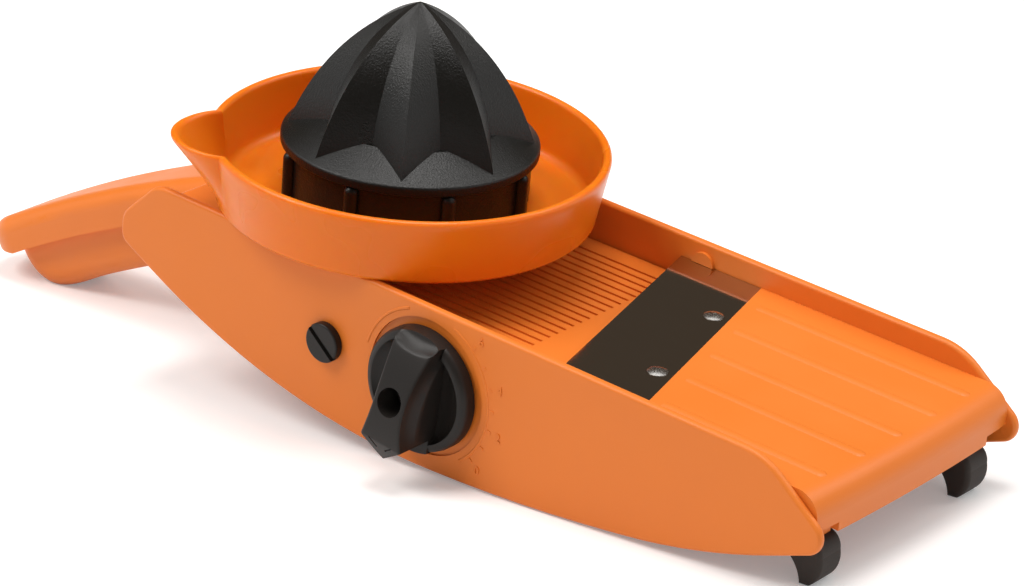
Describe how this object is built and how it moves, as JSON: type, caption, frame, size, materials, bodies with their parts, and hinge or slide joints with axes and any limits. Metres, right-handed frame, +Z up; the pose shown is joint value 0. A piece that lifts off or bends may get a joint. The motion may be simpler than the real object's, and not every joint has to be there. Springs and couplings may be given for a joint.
{
  "type": "mandoline slicer",
  "caption": "Hand-held mandoline slicer with a skewed blade, a dial that lifts its grooved run-up plate, a curved handle, rubber feet and a citrus press seated on its cheeks.",
  "frame": {"origin": "on the ground below the middle of the slicer's box, as it stands on its feet and its handle", "axes": "+X towards the landing end, +Y away from the thickness dial, +Z up"},
  "size_m": [0.3972, 0.1384, 0.1343],
  "materials": {
    "orange_body": "satin moulded",
    "orange_bowl": "smooth moulded",
    "black_plastic": "fine grain",
    "black_rubber": "soft matt",
    "blade_steel": "polished",
    "screw_steel": "turned",
    "shaft_steel": "drawn"
  },
  "bodies": {
    "body": {"front_cheek": "orange_body", "rear_cheek": "orange_body", "landing_deck": "orange_body", "rear_deck": "orange_body", "handle_cap": "orange_body", "handle_keel": "orange_body", "blade": "blade_steel", "blade_screws": "screw_steel", "blade_nuts": "screw_steel", "shaft_bushes": "black_plastic", "foot_front": "black_rubber", "foot_rear": "black_rubber"},
    "dial": {"thickness_dial": "black_plastic", "dial_screw": "screw_steel", "friction_ring": "black_rubber", "lift_shaft": "shaft_steel", "lift_eccentrics": "black_plastic", "lift_clip": "shaft_steel"},
    "plate": {"run_up_plate": "orange_body"},
    "idler": {"idler_shaft": "black_plastic", "idler_eccentrics": "black_plastic", "idler_clip": "shaft_steel"},
    "bowl": {"juicer_bowl": "orange_bowl"},
    "reamer": {"reamer": "black_plastic", "reamer_skirt": "black_plastic"}
  },
  "joints": [
    {"name": "dial_turn", "type": "hinge", "parent": "body", "child": "dial", "pos_m": [0.04808, 0.00322, 0.03056], "axis": [0, -1, 0], "range_deg": [0, 180]},
    {"name": "plate_follow", "type": "hinge", "parent": "dial", "child": "plate", "pos_m": [0.04769, 0.00322, 0.02723], "axis": [0, -1, 0], "range_deg": [-180, 0]},
    {"name": "idler_turn", "type": "hinge", "parent": "body", "child": "idler", "pos_m": [0.00668, 0.00322, 0.0355], "axis": [0, -1, 0], "range_deg": [0, 180]},
    {"name": "bowl_lift", "type": "slide", "parent": "body", "child": "bowl", "axis": [0.1184, 0, 0.993], "range_m": [0, 0.06]},
    {"name": "reamer_lift", "type": "slide", "parent": "bowl", "child": "reamer", "axis": [0.1184, 0, 0.993], "range_m": [0, 0.05]}
  ],
  "couplings": [
    {"joint": "plate_follow", "follows": "dial_turn", "ratio": -1},
    {"joint": "idler_turn", "follows": "dial_turn", "ratio": 1}
  ]
}
